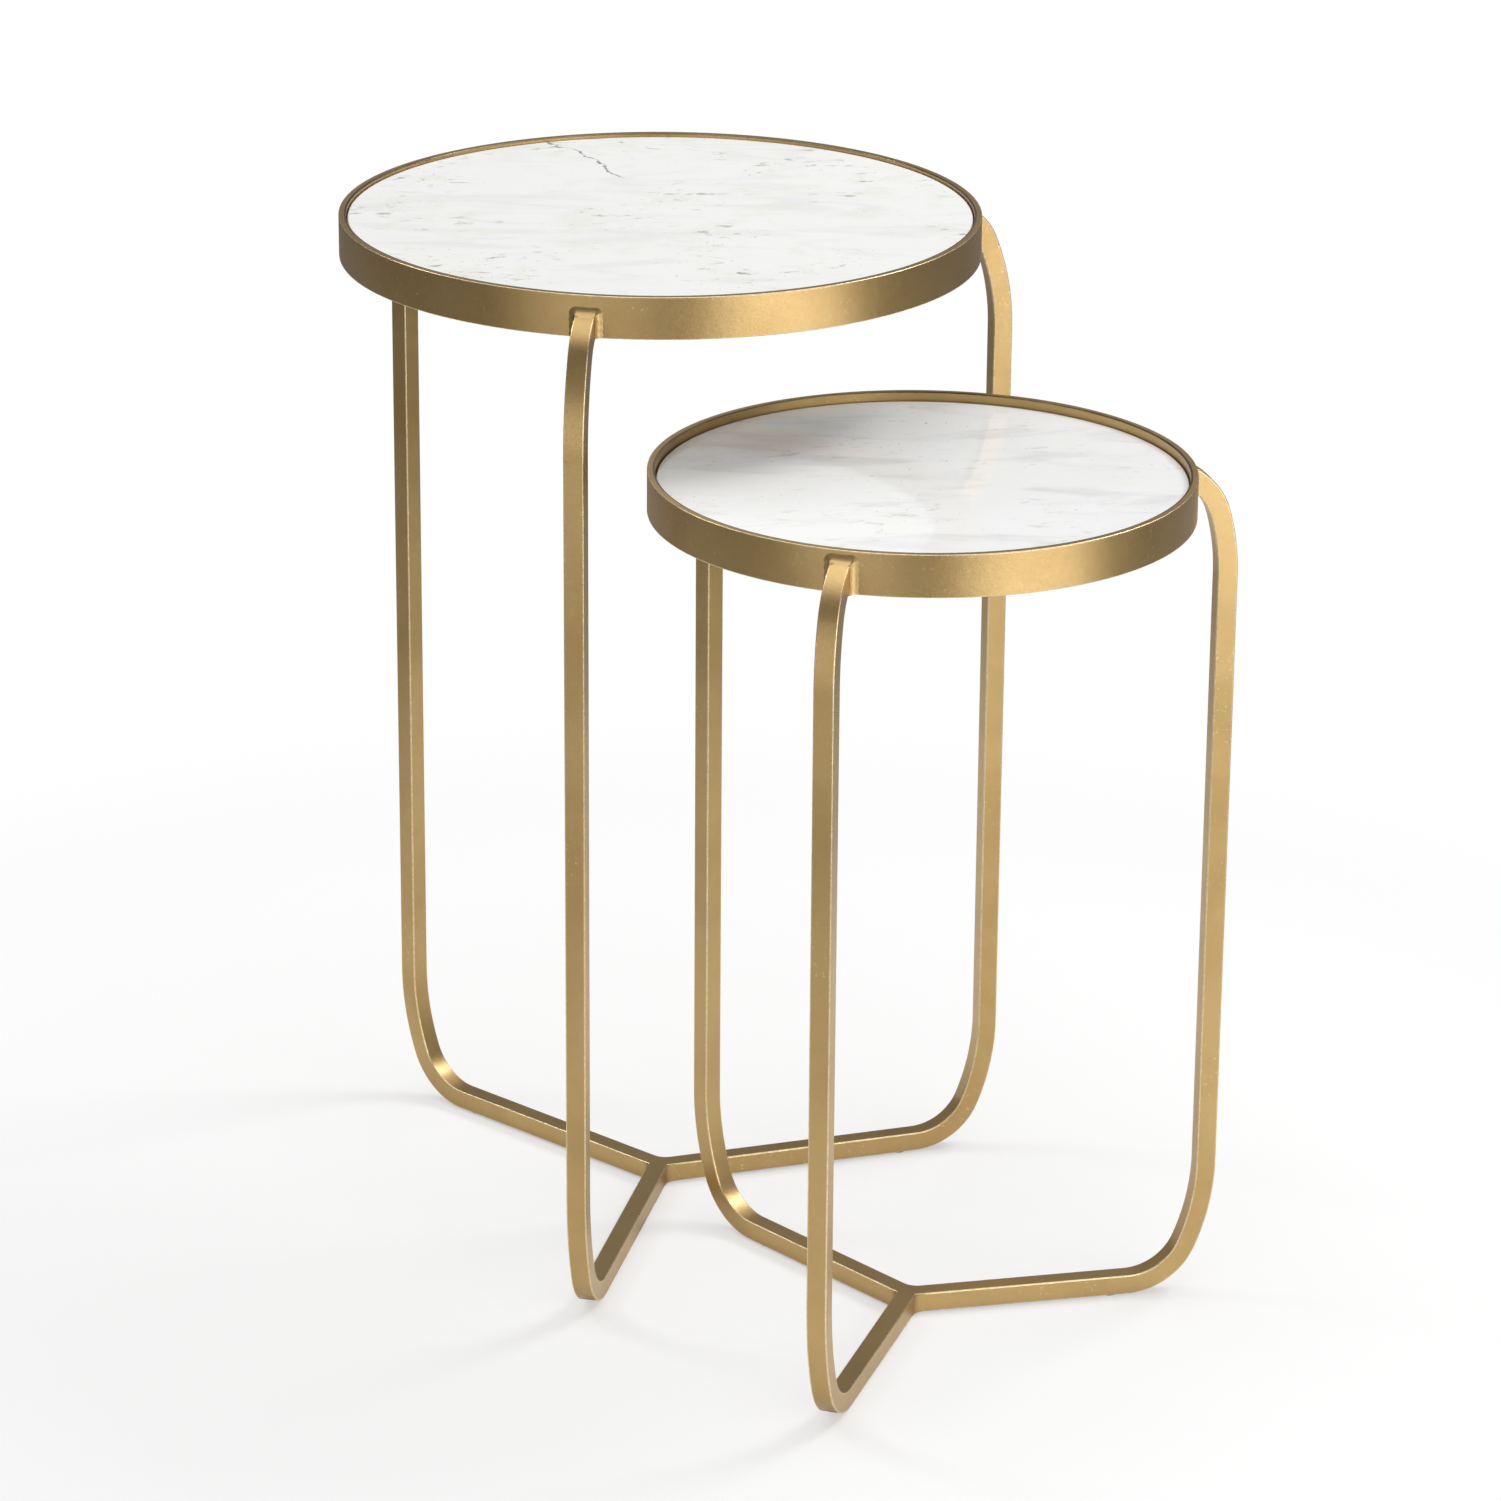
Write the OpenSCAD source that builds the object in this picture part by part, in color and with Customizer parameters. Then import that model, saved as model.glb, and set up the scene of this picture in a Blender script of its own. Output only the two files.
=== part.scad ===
// A pair of round nesting tables. Each has a stone top set in a flat-bar hoop,
// carried on three bent square-bar legs that meet in a Y on the floor.
// Millimetres, +Z up. The origin is on the floor, on the large table's axis.
// The small table pulls out towards -Y, between the large table's two front legs.

/* [Large table] */
// Height of the hoop's top edge above the floor
large_h = 635; // [560:1:700]
// Outer diameter of the hoop
large_d = 384; // [360:2:420]
// Radius from the table's axis to the centre line of a leg's upright
large_reach = 218; // [214:1:222]
// Thickness of the stone top
large_top_t = 15; // [13:1:16]
// Depth of the stone's face below the hoop's top edge
large_recess = 2; // [1:0.5:4]
// Outer radius of the tight part of the legs' top bend
large_top_bend_r = 36; // [34:1:40]
// Drop from the hoop's top edge to the centre of that tight part
large_top_bend_drop = 44; // [42:1:48]

/* [Small table] */
// Height of the hoop's top edge above the floor
small_h = 533; // [480:1:560]
// Outer diameter of the hoop
small_d = 316; // [300:2:324]
// Radius from the table's axis to the centre line of a leg's upright
small_reach = 183; // [180:1:186]
// Thickness of the stone top
small_top_t = 12; // [11:1:13]
// Depth of the stone's face below the hoop's top edge
small_recess = 5.5; // [1:0.5:6]
// Outer radius of the tight part of the legs' top bend
small_top_bend_r = 45; // [42:1:48]
// Drop from the hoop's top edge to the centre of that tight part
small_top_bend_drop = 47; // [45:1:52]
// Sideways place of the small table's axis
small_x = -36.5; // [-40:0.5:0]
// Distance that the small table stands in front of the large table's axis
small_out = 238.4; // [236:0.1:300]
// Turn of the small table about its own axis
small_turn = -6; // [-8:0.5:8]

/* [Bars] */
// Side of the legs' square bar
bar = 12; // [10:0.5:14]
// Height of the hoop's flat bar
band_h = 25; // [24:1:32]
// Thickness of the hoop's flat bar
band_t = 4.5; // [3:0.5:6]
// Outer radius of the tight part of the floor bend
foot_bend_r = 45; // [40:1:50]

/* [Fittings] */
// Width of the flat ledge ring that carries the stone
ledge_w = 20; // [15:1:25]
// Thickness of the ledge ring
ledge_t = 3; // [2:0.5:4]
// Clearance all round between the stone and the hoop
stone_gap = 0.8; // [0.5:0.1:1.5]
// Chamfer on the stone's edges
stone_arris = 0.8; // [0.4:0.1:1.5]
// Thickness of the soft bumpers between the ledge and the stone
bumper_t = 2; // [1:0.5:3]
// Diameter of a bumper
bumper_d = 10; // [8:1:14]
// Number of bumpers under each stone
bumpers = 6; // [3:1:8]
// Thickness of the floor glides
glide_t = 1.5; // [1:0.5:3]
// Diameter of a floor glide
glide_d = 8; // [6:1:12]
// Length of a weld's foot on the bar that it joins
weld_foot = 4; // [2:0.5:5]

/* [Hidden] */
$fn = 96;
legs_per_table = 3;
leg_step = 360 / legs_per_table;
rear_angle = 90;
front_left_angle = rear_angle + leg_step;
front_right_angle = rear_angle + 2 * leg_step;
overcut = 1;         // how far a cutting tool runs past the face that it cuts
glide_inset = 10;    // from the start of a floor bend back to its glide
mitre_half = leg_step / 2;
tack_sweep = 7;      // degrees covered by one tack weld under the ledge
tack_side = 2;       // side of a tack weld's triangle
far = 300;           // beyond the reach of any bend
bead_set_in = 0.6;   // from a leg's outer face down to its side beads
fine = 720;          // sides of a circle that bounds something as small as a bead
top_bead_rise = 3;   // how far a leg's top bead climbs the hoop above the bar's end

// Each bend is a tight arc that eases into the upright through a gentle one. A bend's ease is the
// step from the gentle arc's centre to the tight one's, across and along the upright. Its length is
// a whole number, so that the two arcs meet exactly.
foot_ease = [96, 40];
large_top_ease = [108, 45];
small_top_ease = [96, 28];

// One table's sizes, in the order of the functions below.
LARGE = [large_h, large_d / 2, large_reach, large_top_t, large_recess,
         large_top_bend_r, large_top_bend_drop, large_top_ease];
SMALL = [small_h, small_d / 2, small_reach, small_top_t, small_recess,
         small_top_bend_r, small_top_bend_drop, small_top_ease];
function height(t) = t[0];
function hoop_r(t) = t[1];
function outer_face(t) = t[2] + bar / 2;
function stone_t(t) = t[3];
function recess(t) = t[4];
function top_bend_r(t) = t[5];
function top_ease(t) = t[7];

// The centre of a bend's tight arc, as [radius from the table's axis, height].
function tight_centre(t, tight_r, ease, z) = [outer_face(t) - tight_r - norm(ease) + ease[0], z];
function foot_centre(t) = tight_centre(t, foot_bend_r, foot_ease, glide_t + foot_bend_r);
function top_centre(t) = tight_centre(t, top_bend_r(t), top_ease(t), height(t) - t[6]);

// Where the uprights begin and end.
function upright_low(t) = foot_centre(t)[1] + foot_ease[1];
function upright_high(t) = top_centre(t)[1] - top_ease(t)[1];

// The height at which the outer face of the top bend meets the hoop.
function leg_end_z(t) =
    top_centre(t)[1] + sqrt(pow(top_bend_r(t), 2) - pow(hoop_r(t) - top_centre(t)[0], 2));

function stone_r(t) = hoop_r(t) - band_t - stone_gap;
function stone_bottom(t) = height(t) - recess(t) - stone_t(t);
function ledge_top(t) = stone_bottom(t) - bumper_t;

module gold() color([0.72, 0.60, 0.38]) children();
module stone() color([0.93, 0.93, 0.92]) children();
module soft() color([0.82, 0.82, 0.80]) children();

// Stands a shape in the place where the small table is left, partly pulled out.
module at_small() translate([small_x, -small_out, 0]) rotate([0, 0, small_turn]) children();

// Turns a shape drawn in a leg's own plane, X outwards, to that leg's place.
module at_leg(angle) rotate([0, 0, angle]) children();

module ring(outer_r, inner_r, low, high) {
    difference() {
        translate([0, 0, low]) cylinder(r = outer_r, h = high - low);
        translate([0, 0, low - overcut]) cylinder(r = inner_r, h = high - low + 2 * overcut);
    }
}

module hoop(t) gold() ring(hoop_r(t), hoop_r(t) - band_t, height(t) - band_h, height(t));

module ledge(t)
    gold() ring(hoop_r(t) - band_t, hoop_r(t) - band_t - ledge_w, ledge_top(t) - ledge_t, ledge_top(t));

// Short welds in the corner between the ledge's underside and the hoop.
module ledge_tacks(t) {
    r = hoop_r(t) - band_t;
    z = ledge_top(t) - ledge_t;
    gold() for (i = [0 : 2 * legs_per_table - 1])
        rotate([0, 0, i * leg_step / 2 - tack_sweep / 2])
            rotate_extrude(angle = tack_sweep)
                polygon([[r, z], [r - tack_side, z], [r, z - tack_side]]);
}

// A whole turn of square bar in the leg's plane.
module bar_ring(centre, outer_r)
    translate([centre[0], 0, centre[1]]) rotate([90, 0, 0]) difference() {
        cylinder(r = outer_r, h = bar, center = true);
        cylinder(r = outer_r - bar, h = 2 * bar, center = true);
    }

// The part of a leg's plane that an outline about a centre encloses.
module sector(centre, outline)
    translate([centre[0], 0, centre[1]]) rotate([90, 0, 0]) translate([0, 0, -bar])
        linear_extrude(height = 2 * bar) polygon(outline);

// A quarter turn from level to upright. It turns down to a foot for way -1, up to a hoop for way 1.
module bend(centre, tight_r, ease, way) {
    step = [ease[0], way * ease[1]];
    gentle_centre = centre - step;
    join = 3 * step;
    intersection() {
        bar_ring(centre, tight_r);
        sector(centre, [[0, 0], [0, way * far / 2], [far / 2, way * far / 2], join]);
    }
    intersection() {
        bar_ring(gentle_centre, tight_r + norm(ease));
        sector(gentle_centre, [[0, 0], join, [far, 0]]);
    }
}

// The floor arm, mitred so that three of them meet on the table's axis.
module arm(t) {
    mitre_x = bar / 2 / tan(mitre_half);
    end_x = foot_centre(t)[0];
    translate([0, 0, glide_t])
        linear_extrude(height = bar)
            polygon([[0, 0], [mitre_x, -bar / 2], [end_x, -bar / 2],
                     [end_x, bar / 2], [mitre_x, bar / 2]]);
}

module upright(t)
    translate([outer_face(t) - bar, -bar / 2, upright_low(t)])
        cube([bar, bar, upright_high(t) - upright_low(t)]);

// One leg: a single square bar, bent at the floor and again up to the hoop.
module leg(t, angle) {
    gold() at_leg(angle) difference() {
        union() {
            arm(t);
            bend(foot_centre(t), foot_bend_r, foot_ease, -1);
            upright(t);
            bend(top_centre(t), top_bend_r(t), top_ease(t), 1);
        }
        translate([0, 0, height(t) / 2]) cylinder(r = hoop_r(t), h = height(t));
    }
}

// A rod across the leg's plane, as wide as the welds reach, that follows the top bend.
module bend_rod(t, radius, width)
    translate([top_centre(t)[0], width / 2, top_centre(t)[1]])
        rotate([90, 0, 0]) cylinder(r = radius, h = width, $fn = fine);

// The bead on one side of a leg, in the corner between the bar and the hoop. It runs down the
// hoop to its lower edge.
module side_bead(t, side) {
    half = bar / 2;
    foot = weld_foot + 1;
    low = height(t) - band_h;
    intersection() {
        difference() {
            translate([0, 0, low])
                linear_extrude(height = leg_end_z(t) - low)
                    polygon([[hoop_r(t) - 1, side * half], [hoop_r(t) + weld_foot, side * half],
                             [hoop_r(t) - 1, side * (half + foot)]]);
            translate([0, 0, low - overcut]) cylinder(r = hoop_r(t), h = 2 * band_h, $fn = fine);
        }
        bend_rod(t, top_bend_r(t) - bead_set_in, 2 * (bar + foot));
    }
}

// The bead over the end of a leg.
module top_bead(t) {
    r = hoop_r(t);
    z = leg_end_z(t);
    difference() {
        translate([0, bar / 2, 0]) rotate([90, 0, 0])
            linear_extrude(height = bar)
                polygon([[r - 1, z + top_bead_rise], [r + weld_foot, z - weld_foot],
                         [r - 1, z - weld_foot]]);
        bend_rod(t, top_bend_r(t), 2 * bar);
        translate([0, 0, z - band_h]) cylinder(r = r, h = 2 * band_h, $fn = fine);
    }
}

module leg_welds(t)
    gold() for (angle = [rear_angle, front_left_angle, front_right_angle])
        at_leg(angle) {
            side_bead(t, 1);
            side_bead(t, -1);
            top_bead(t);
        }

// Fills the three corners of the Y, where the arms are welded together.
module hub_weld(t) {
    corner = bar / 2 / sin(mitre_half);
    reach_x = corner + weld_foot * cos(mitre_half);
    gold() for (i = [0 : legs_per_table - 1])
        rotate([0, 0, rear_angle + mitre_half + i * leg_step])
            translate([0, 0, glide_t])
                linear_extrude(height = bar)
                    polygon([[corner, 0], [reach_x, -weld_foot * sin(mitre_half)],
                             [reach_x, weld_foot * sin(mitre_half)]]);
}

module bumper_set(t)
    soft() for (i = [0 : bumpers - 1])
        rotate([0, 0, (i + 0.5) * 360 / bumpers])
            translate([hoop_r(t) - band_t - ledge_w / 2, 0, ledge_top(t)])
                cylinder(d = bumper_d, h = bumper_t);

// One glide under the middle of the Y and one near the end of each arm.
module glide_set(t)
    soft() {
        cylinder(d = glide_d, h = glide_t);
        for (angle = [rear_angle, front_left_angle, front_right_angle])
            at_leg(angle)
                translate([foot_centre(t)[0] - glide_inset, 0, 0]) cylinder(d = glide_d, h = glide_t);
    }

// The stone disc, with its edges eased.
module stone_top(t) {
    r = stone_r(t);
    low = stone_bottom(t);
    high = low + stone_t(t);
    stone() rotate_extrude()
        polygon([[0, low], [r - stone_arris, low], [r, low + stone_arris],
                 [r, high - stone_arris], [r - stone_arris, high], [0, high]]);
}

hoop(LARGE);  // large_hoop
ledge(LARGE);  // large_ledge
ledge_tacks(LARGE);  // large_ledge_tacks
leg(LARGE, rear_angle);  // large_leg_rear
leg(LARGE, front_left_angle);  // large_leg_front_left
leg(LARGE, front_right_angle);  // large_leg_front_right
leg_welds(LARGE);  // large_leg_welds
hub_weld(LARGE);  // large_hub_weld
bumper_set(LARGE);  // large_bumpers
glide_set(LARGE);  // large_glides
stone_top(LARGE);  // large_stone_top
at_small() hoop(SMALL);  // small_hoop
at_small() ledge(SMALL);  // small_ledge
at_small() ledge_tacks(SMALL);  // small_ledge_tacks
at_small() leg(SMALL, rear_angle);  // small_leg_rear
at_small() leg(SMALL, front_left_angle);  // small_leg_front_left
at_small() leg(SMALL, front_right_angle);  // small_leg_front_right
at_small() leg_welds(SMALL);  // small_leg_welds
at_small() hub_weld(SMALL);  // small_hub_weld
at_small() bumper_set(SMALL);  // small_bumpers
at_small() glide_set(SMALL);  // small_glides
at_small() stone_top(SMALL);  // small_stone_top
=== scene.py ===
"""Round nesting tables: marble discs in gold flat-bar hoops, on bent square-bar legs."""

import math

import bmesh
import bpy
from bpy.props import FloatProperty, FloatVectorProperty, PointerProperty
from mathutils import Matrix, Vector


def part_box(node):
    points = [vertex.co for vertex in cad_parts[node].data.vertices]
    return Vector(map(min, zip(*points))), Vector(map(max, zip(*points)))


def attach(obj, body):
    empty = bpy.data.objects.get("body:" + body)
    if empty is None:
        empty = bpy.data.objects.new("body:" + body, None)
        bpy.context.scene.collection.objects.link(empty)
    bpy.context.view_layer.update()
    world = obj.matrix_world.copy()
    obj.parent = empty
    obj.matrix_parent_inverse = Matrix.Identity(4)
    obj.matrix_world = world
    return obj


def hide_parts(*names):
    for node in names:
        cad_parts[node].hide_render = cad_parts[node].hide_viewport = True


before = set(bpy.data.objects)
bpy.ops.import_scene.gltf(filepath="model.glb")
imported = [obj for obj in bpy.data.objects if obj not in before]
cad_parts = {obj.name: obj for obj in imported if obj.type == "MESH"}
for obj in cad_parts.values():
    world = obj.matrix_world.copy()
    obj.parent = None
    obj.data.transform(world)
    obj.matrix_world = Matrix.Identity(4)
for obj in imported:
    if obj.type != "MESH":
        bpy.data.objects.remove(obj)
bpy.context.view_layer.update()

bl_info = {
    "name": "Round Nesting Tables",
    "version": (1, 0, 0),
    "blender": (4, 5, 0),
    "location": "View3D > Sidebar > Nesting Tables",
    "description": "Builds a pair of marble-topped nesting tables on bent square-bar legs",
    "category": "Add Mesh",
}

TABLES = ("large", "small")

# Bearing of each leg round its table's axis, in degrees
LEGS = {"rear": 90.0, "front_left": 210.0, "front_right": 330.0}
# Half of the angle between two arms of the Y on the floor
MITRE = math.radians(60)
# How far round the top bend is swept, before the hoop's face cuts it off
TOP_SWEEP = math.radians(85)
# How far a leg's end reaches into the hoop
LEG_SUNK = 0.002
# How far weld metal reaches into the bars, and how far it stops short of their faces
WELD_SUNK = 0.0008
WELD_SHY = 0.0003
# How many tacks, and how many bumpers, stand round a ledge
AROUND = 6
# Steps round a hoop or a disc, and round a ledge
HOOP_STEPS = 288
LEDGE_STEPS = 192
# Steps in the tight part and in the gentle part of a leg's bend
TIGHT_STEPS = 24
GENTLE_STEPS = 14
# Points closer together than this are one point
TOUCH = 1e-6
# How close to a cut a point may lie and still be on it
ON_CUT = 1e-7
# Edges where the surface turns by more than this stay sharp
SHARP = math.radians(35)


# ---------------------------------------------------------------- sizes and colours

def length(name, description, default):
    """A length that the user may change, in metres."""
    return FloatProperty(name=name, description=description, default=default, min=0.0,
                         unit="LENGTH", precision=4)


def paint(name, description, default):
    """A colour that the user may change."""
    return FloatVectorProperty(name=name, description=description, default=default, size=4,
                               min=0.0, max=1.0, subtype="COLOR")


class BarSizes(bpy.types.PropertyGroup):
    """Sizes of the bars and of how they are bent and joined."""

    side: length("Bar side", "Side of the legs' square bar", 0.012)
    leg_edge: length("Leg edge", "Rounding of the legs' long edges", 0.0008)
    hoop_edge: length("Hoop edge", "Rounding of the hoops' and ledges' edges", 0.0006)
    foot_radius: length("Foot bend", "Outer radius of the tight part of the floor bend", 0.045)
    foot_across: length("Foot ease across", "Step between the foot bend's centres, outwards", 0.096)
    foot_along: length("Foot ease along", "Step between the foot bend's centres, upwards", 0.040)
    # Painted shadow: the width of the dark line that stands in for shade along the inside of a hoop's top
    shadow_line_width: length("Painted shadow line", "Width of the dark line along the inside of a hoop's top", 0.0012)
    bead: length("Weld bead", "Width of the weld between a leg and a hoop", 0.0044)
    hub_fillet: length("Hub fillet", "Radius of the welds in the corners of the Y", 0.010)


class RestSizes(bpy.types.PropertyGroup):
    """Sizes of what the marble discs and the tables rest on, and of the discs' edges."""

    ledge: length("Ledge", "Width of the ring that carries a disc", 0.020)
    bumper: length("Bumper", "Diameter of the soft dots on the ledge", 0.010)
    glide: length("Glide", "Diameter of the pads under the arms", 0.008)
    glide_inset: length("Glide inset", "From the start of the floor bend back to a glide", 0.010)
    disc_edge: length("Disc edge", "Rounding of the marble's edges", 0.0009)


class LargeTableSizes(bpy.types.PropertyGroup):
    """Sizes of the large table that its boxes don't give."""

    reach: length("Leg reach", "From the table's axis to the centre of an upright", 0.218)
    bend_radius: length("Top bend", "Outer radius of the tight part of the top bend", 0.036)
    bend_drop: length("Top bend drop", "From the hoop's top edge to that part's centre", 0.044)
    ease_across: length("Top ease across", "Step between the top bend's centres, outwards", 0.108)
    ease_along: length("Top ease along", "Step between the top bend's centres, upwards", 0.045)
    turn: FloatProperty(name="Turn", description="Turn of the table about its own axis",
                        default=0.0, subtype="ANGLE")


class SmallTableSizes(bpy.types.PropertyGroup):
    """Sizes of the small table that its boxes don't give."""

    reach: length("Leg reach", "From the table's axis to the centre of an upright", 0.183)
    bend_radius: length("Top bend", "Outer radius of the tight part of the top bend", 0.045)
    bend_drop: length("Top bend drop", "From the hoop's top edge to that part's centre", 0.047)
    ease_across: length("Top ease across", "Step between the top bend's centres, outwards", 0.096)
    ease_along: length("Top ease along", "Step between the top bend's centres, upwards", 0.028)
    turn: FloatProperty(name="Turn", description="Turn of the table about its own axis",
                        default=math.radians(-6), subtype="ANGLE")


class Finishes(bpy.types.PropertyGroup):
    """Colours of the gold lacquer, the marble and the pads."""

    gold: paint("Gold", "Main colour of the metal", (0.545, 0.376, 0.158, 1.0))
    gold_dark: paint("Dark gold", "Toning in the metal's hollows", (0.450, 0.298, 0.116, 1.0))
    # Lightens flecks as wear, and rounded edges partly as wear and partly as a painted highlight
    gold_wear_and_highlight: paint("Worn gold and edge highlight", "Rubbed edges and flecks", (0.900, 0.735, 0.465, 1.0))
    # Painted shadow: a dark line that stands in for the shade and dark reflection where a hoop meets its
    # marble
    gold_painted_shadow: paint("Painted shadow line", "Dark line along the inside of a hoop", (0.080, 0.055, 0.028, 1.0))
    marble: paint("Marble", "Ground colour of the marble", (0.915, 0.916, 0.904, 1.0))
    marble_cloud: paint("Marble cloud", "Soft clouds in the marble", (0.755, 0.768, 0.765, 1.0))
    marble_vein: paint("Marble vein", "Thin dark veins and spots", (0.300, 0.295, 0.300, 1.0))
    marble_warm: paint("Marble tint", "Faint warm stains", (0.845, 0.832, 0.760, 1.0))
    bumper: paint("Bumper", "Soft dots under the marble", (0.620, 0.620, 0.600, 1.0))
    glide: paint("Glide", "Pads on the floor", (0.080, 0.070, 0.060, 1.0))
    floor: paint("Floor", "The studio floor", (0.925, 0.925, 0.925, 1.0))


class StudioSizes(bpy.types.PropertyGroup):
    """Where the camera stands, and how large the floor is."""

    azimuth: FloatProperty(name="Azimuth", description="Camera's bearing round the large table",
                           default=math.radians(-47.26), subtype="ANGLE")
    distance: length("Distance", "From the large table's axis to the camera, along the floor", 3.3544)
    camera_height: length("Camera height", "Height of the camera above the floor", 1.5254)
    pitch: FloatProperty(name="Pitch", description="How far the camera looks down",
                         default=math.radians(20.194), subtype="ANGLE")
    yaw: FloatProperty(name="Yaw", description="How far the camera looks past the axis, to the right",
                       default=math.radians(0.957), subtype="ANGLE")
    roll: FloatProperty(name="Roll", description="Camera's turn about its own line of sight",
                        default=math.radians(0.416), subtype="ANGLE")
    lens: FloatProperty(name="Lens", description="Focal length in millimetres, for a 36 mm sensor",
                        default=138.8, unit="CAMERA")
    floor_size: length("Floor size", "Side of the floor", 14.0)


# ---------------------------------------------------------------- places read from the frame

def box_size(node):
    """How far a CAD node reaches along X, Y and Z."""
    low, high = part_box(node)
    return high - low


def bars():
    """The settings of the bars."""
    return bpy.context.scene.nesting_bars


def rests():
    """The settings of the ledges, the pads and the discs' edges."""
    return bpy.context.scene.nesting_rests


def finishes():
    """The settings of the colours."""
    return bpy.context.scene.nesting_finishes


def studio():
    """The settings of the camera and the floor."""
    return bpy.context.scene.nesting_studio


def sizes_of(table):
    """The settings of one table."""
    scene = bpy.context.scene
    return scene.nesting_large if table == "large" else scene.nesting_small


def table_place(table):
    """The table's axis on the floor, and its turn, as one matrix."""
    low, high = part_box(f"{table}_stone_top")
    centre = (low + high) / 2
    turn = sizes_of(table).turn
    return Matrix.Translation((centre.x, centre.y, 0)) @ Matrix.Rotation(turn, 4, "Z")


def turned(degrees):
    """A turn about a table's own axis."""
    return Matrix.Rotation(math.radians(degrees), 4, "Z")


def seen(x, y, z):
    """A place about the large table's axis, as the camera sees it: X right, Y away, Z up."""
    return Matrix.Rotation(studio().azimuth, 4, "Z") @ Vector((x, y, z))


# ---------------------------------------------------------------- bmesh helpers

def ring_of(bm, points):
    """A closed loop of edges through a few points."""
    verts = [bm.verts.new(p) for p in points]
    return [bm.edges.new((a, b)) for a, b in zip(verts, verts[1:] + verts[:1])]


def line_of(bm, points):
    """An open line of edges through a few points."""
    verts = [bm.verts.new(p) for p in points]
    return [bm.edges.new((a, b)) for a, b in zip(verts, verts[1:])]


def verts_of(edges):
    """The points that some edges join, each once and in a fixed order."""
    return list(dict.fromkeys(v for e in edges for v in e.verts))


def edges_in(geometry):
    """The edges among what an operator gave back."""
    return [g for g in geometry if isinstance(g, bmesh.types.BMEdge)]


def verts_in(geometry):
    """The points among what an operator gave back."""
    return [g for g in geometry if isinstance(g, bmesh.types.BMVert)]


def run_on(bm, edges, step):
    """Extrudes a loop of edges straight on, and returns the new loop."""
    made = bmesh.ops.extrude_edge_only(bm, edges=edges)["geom"]
    verts = verts_in(made)
    new_edges = [e for e in edges_in(made) if all(v in verts for v in e.verts)]
    bmesh.ops.translate(bm, verts=verts, vec=step)
    return new_edges


def turn_on(bm, edges, centre, axis, angle, steps):
    """Spins a loop of edges about an axis, and returns the last loop."""
    made = bmesh.ops.spin(bm, geom=edges + verts_of(edges), cent=centre, axis=axis,
                          angle=angle, steps=steps, use_duplicate=False)
    return edges_in(made["geom_last"])


def full_spin(bm, edges, steps):
    """Spins edges a whole turn about the Z axis and closes the seam and the poles."""
    bmesh.ops.spin(bm, geom=edges + verts_of(edges), cent=(0, 0, 0), axis=(0, 0, 1),
                   angle=math.tau, steps=steps, use_merge=True, use_duplicate=False)
    bmesh.ops.remove_doubles(bm, verts=bm.verts, dist=TOUCH)


def sharp_edges(bm, degrees=40):
    """The edges where the surface turns by more than an angle."""
    return [e for e in bm.edges
            if len(e.link_faces) == 2 and e.calc_face_angle(0) > math.radians(degrees)]


def round_edges(bm, edges, radius, segments=3):
    """Rounds edges and marks the new faces as rubbed; the gold lightens them partly as wear and partly as
    a painted highlight.
    """
    wear_and_highlight = bm.faces.layers.float.get("wear_and_highlight") or bm.faces.layers.float.new("wear_and_highlight")
    made = bmesh.ops.bevel(bm, geom=edges, offset=radius, offset_type="OFFSET", affect="EDGES",
                           segments=segments, profile=0.5, material=-1, clamp_overlap=True)
    for face in made["faces"]:
        face[wear_and_highlight] = 1.0


def cut_away(bm, point, normal, faces):
    """Cuts off what of some faces lies on the normal's side of a plane, and closes the cut."""
    geometry = list(dict.fromkeys(g for f in faces for g in (f, *f.edges, *f.verts)))
    made = bmesh.ops.bisect_plane(bm, geom=geometry, plane_co=point, plane_no=normal,
                                  clear_outer=True, dist=ON_CUT)
    rim = [e for e in edges_in(made["geom_cut"]) if e.is_valid and e.is_boundary]
    bmesh.ops.holes_fill(bm, edges=rim, sides=0)


def place_new(bm, before, place):
    """Moves the points that a shape has gained since before to their place."""
    bmesh.ops.transform(bm, matrix=place, verts=[v for v in bm.verts if v not in before])


def finish_piece(bm, name, place, material, body, nodes):
    """Puts a shape in its place, makes it an object and ties it to its body."""
    bmesh.ops.remove_doubles(bm, verts=bm.verts, dist=TOUCH)
    bmesh.ops.transform(bm, matrix=place, verts=bm.verts)
    bmesh.ops.recalc_face_normals(bm, faces=bm.faces)
    for face in bm.faces:
        face.smooth = True
    for edge in bm.edges:
        edge.smooth = edge.calc_face_angle(0) < SHARP
    mesh = bpy.data.meshes.new(name)
    bm.to_mesh(mesh)
    bm.free()
    mesh.materials.append(material)
    piece = bpy.data.objects.new(name, mesh)
    bpy.context.scene.collection.objects.link(piece)
    weighted = piece.modifiers.new("Flat faces stay flat", "WEIGHTED_NORMAL")
    weighted.keep_sharp = True
    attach(piece, body)
    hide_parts(*nodes)


# ---------------------------------------------------------------- materials

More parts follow.
